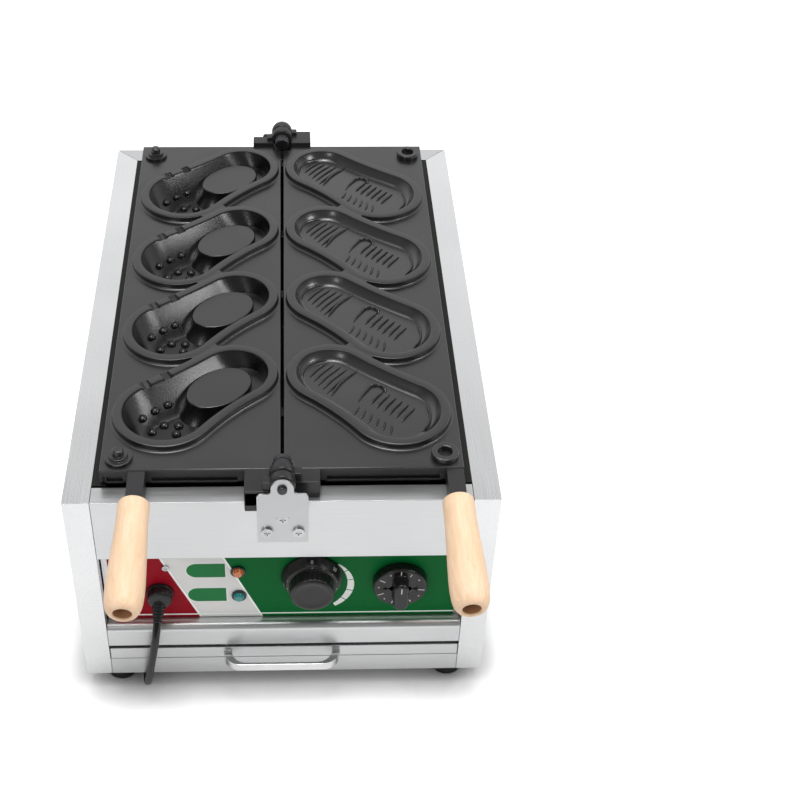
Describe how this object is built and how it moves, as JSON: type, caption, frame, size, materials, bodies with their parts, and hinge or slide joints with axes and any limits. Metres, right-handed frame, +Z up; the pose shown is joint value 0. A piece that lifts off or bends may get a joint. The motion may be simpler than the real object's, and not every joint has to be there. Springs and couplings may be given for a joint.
{
  "type": "shaped waffle maker",
  "caption": "Countertop waffle maker whose two hinged mould plates fold over each other, with wooden grips, a dial thermostat, a timer and a crumb drawer.",
  "frame": {"origin": "middle of the footprint of the appliance without its cord, on the surface it stands on", "axes": "+X to the user's right, +Y from the control front to the rear, +Z up"},
  "size_m": [0.36, 0.8506, 0.273],
  "materials": {
    "casing_steel": "fine horizontal brush",
    "polished_steel": "polished",
    "bracket_steel": "satin",
    "inner_steel": "plain mill",
    "screw_steel": "zinc plated",
    "pin_steel": "ground",
    "plate_coating": "semi-matt non-stick coating",
    "arm_iron": "dark satin",
    "bar_paint": "dark satin paint",
    "beech": "sanded, unvarnished",
    "knob_plastic": "semi-gloss, white marks",
    "label_print": "printed bands of red, white and green",
    "amber_plastic": "clear tinted",
    "teal_plastic": "clear tinted",
    "bezel_plastic": "gloss",
    "body_plastic": "moulded",
    "element_sheath": "heat-darkened",
    "porcelain": "glazed",
    "copper_tube": "drawn",
    "foot_rubber": "moulded",
    "cord_rubber": "smooth",
    "plug_plastic": "moulded"
  },
  "bodies": {
    "casing": {"side_panel_left": "casing_steel", "side_panel_right": "casing_steel", "rear_panel": "casing_steel", "front_upper_panel": "casing_steel", "shelf_rail": "casing_steel", "base_pan": "casing_steel", "feet": "foot_rubber", "foot_screws": "screw_steel", "control_panel": "inner_steel", "panel_label": "label_print", "control_bay": "inner_steel", "plate_rest_rails": "inner_steel", "side_liners": "inner_steel", "rear_liner": "inner_steel", "left_heating_element": "element_sheath", "right_heating_element": "element_sheath", "element_supports": "inner_steel", "element_beads": "porcelain", "terminal_block": "body_plastic", "thermostat_body": "body_plastic", "thermostat_bulb": "copper_tube", "timer_body": "body_plastic", "lamp_bezels": "bezel_plastic", "amber_lens": "amber_plastic", "teal_lens": "teal_plastic", "lamp_bodies": "body_plastic", "front_hinge_bracket": "bracket_steel", "rear_hinge_bracket": "bracket_steel", "front_hinge_pin": "pin_steel", "rear_hinge_pin": "pin_steel", "hinge_bracket_screws": "screw_steel", "drawer_runners": "inner_steel", "panel_screws": "screw_steel", "cord_gland": "cord_rubber", "power_cord_drop": "cord_rubber", "power_cord_run": "cord_rubber", "power_cord_coil": "cord_rubber", "cord_tie": "plug_plastic", "power_plug": "plug_plastic"},
    "thermostat_knob": {"thermostat_knob": "knob_plastic", "thermostat_shaft": "pin_steel"},
    "timer_knob": {"timer_knob": "knob_plastic", "timer_shaft": "pin_steel"},
    "left_plate": {"left_mould_plate": "plate_coating", "left_front_hinge_arm": "arm_iron", "left_rear_hinge_arm": "arm_iron", "left_locating_studs": "arm_iron", "left_handle_bar": "bar_paint", "left_grip": "beech", "left_grip_nut": "screw_steel"},
    "right_plate": {"right_mould_plate": "plate_coating", "right_front_hinge_arm": "arm_iron", "right_rear_hinge_arm": "arm_iron", "right_locating_sockets": "arm_iron", "right_handle_bar": "bar_paint", "right_grip": "beech", "right_grip_nut": "screw_steel"},
    "drawer": {"drawer_tray": "inner_steel", "drawer_front": "casing_steel", "drawer_handle": "polished_steel"}
  },
  "joints": [
    {"name": "left_plate_fold", "type": "hinge", "parent": "casing", "child": "left_plate", "pos_m": [0, -0.22179, 0.262], "axis": [0, 1, 0], "range_deg": [0, 180]},
    {"name": "right_plate_fold", "type": "hinge", "parent": "casing", "child": "right_plate", "pos_m": [0, -0.22179, 0.262], "axis": [0, -1, 0], "range_deg": [0, 180]},
    {"name": "drawer_slide", "type": "slide", "parent": "casing", "child": "drawer", "axis": [0, -1, 0], "range_m": [0, 0.42], "deforming": ["power_cord_drop"]},
    {"name": "thermostat_turn", "type": "hinge", "parent": "casing", "child": "thermostat_knob", "pos_m": [0.0245, -0.22179, 0.137], "axis": [0, 1, 0], "range_deg": [0, 270]},
    {"name": "timer_turn", "type": "hinge", "parent": "casing", "child": "timer_knob", "pos_m": [0.1015, -0.22179, 0.1297], "axis": [0, 1, 0], "range_deg": [0, 300]}
  ]
}
